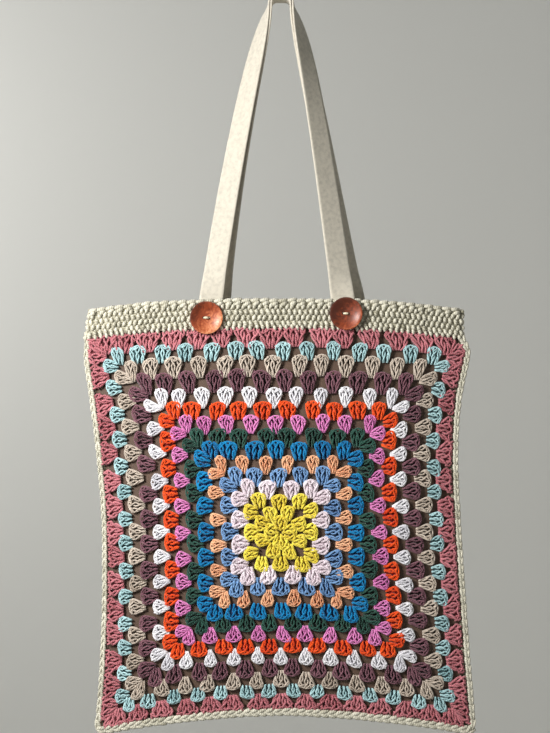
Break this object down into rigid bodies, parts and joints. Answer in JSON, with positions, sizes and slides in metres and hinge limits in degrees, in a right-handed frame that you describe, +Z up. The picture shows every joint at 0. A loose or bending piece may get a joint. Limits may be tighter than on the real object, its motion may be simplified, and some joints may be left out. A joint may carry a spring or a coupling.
{
  "type": "crochet tote bag",
  "caption": "Flat crocheted shoulder bag of two concentric-colour granny squares with a plain band, webbing handles and dished buttons, hanging by its handles.",
  "frame": {"origin": "underside of the inner handle's loop, where the bag hangs on its support", "axes": "+Z up, +X across the bag to the right as seen from the front, front facing -Y"},
  "size_m": [0.3262, 0.0331, 0.6177],
  "materials": {
    "yarn_yellow": "matt cotton yarn",
    "yarn_pale_pink": "matt cotton yarn",
    "yarn_periwinkle": "matt cotton yarn",
    "yarn_peach": "matt cotton yarn",
    "yarn_blue": "matt cotton yarn",
    "yarn_green": "matt cotton yarn",
    "yarn_orchid": "matt cotton yarn",
    "yarn_orange": "matt cotton yarn",
    "yarn_white": "matt cotton yarn",
    "yarn_plum": "matt cotton yarn",
    "yarn_taupe": "matt cotton yarn",
    "yarn_aqua": "matt cotton yarn",
    "yarn_rose": "matt cotton yarn",
    "yarn_cream": "matt cotton yarn",
    "lining": "smooth woven lining cloth",
    "webbing": "natural twill-woven cotton webbing",
    "button": "polished coconut or shell, glossy",
    "thread": "sewing thread"
  },
  "bodies": {
    "root": {"front_round_yellow": "yarn_yellow", "front_round_pale_pink": "yarn_pale_pink", "front_round_periwinkle": "yarn_periwinkle", "front_round_peach": "yarn_peach", "front_round_blue": "yarn_blue", "front_round_green": "yarn_green", "front_round_orchid": "yarn_orchid", "front_round_orange": "yarn_orange", "front_round_white": "yarn_white", "front_round_plum": "yarn_plum", "front_round_taupe": "yarn_taupe", "front_round_aqua": "yarn_aqua", "front_round_rose": "yarn_rose", "back_round_yellow": "yarn_yellow", "back_round_pale_pink": "yarn_pale_pink", "back_round_periwinkle": "yarn_periwinkle", "back_round_peach": "yarn_peach", "back_round_blue": "yarn_blue", "back_round_green": "yarn_green", "back_round_orchid": "yarn_orchid", "back_round_orange": "yarn_orange", "back_round_white": "yarn_white", "back_round_plum": "yarn_plum", "back_round_taupe": "yarn_taupe", "back_round_aqua": "yarn_aqua", "back_round_rose": "yarn_rose", "lining_front": "lining", "lining_back": "lining", "top_band": "yarn_cream", "edge_braid": "yarn_cream", "handle_front": "webbing", "handle_back": "webbing", "button_left": "button", "button_right": "button", "button_thread_left": "thread", "button_thread_right": "thread"}
  },
  "joints": []
}
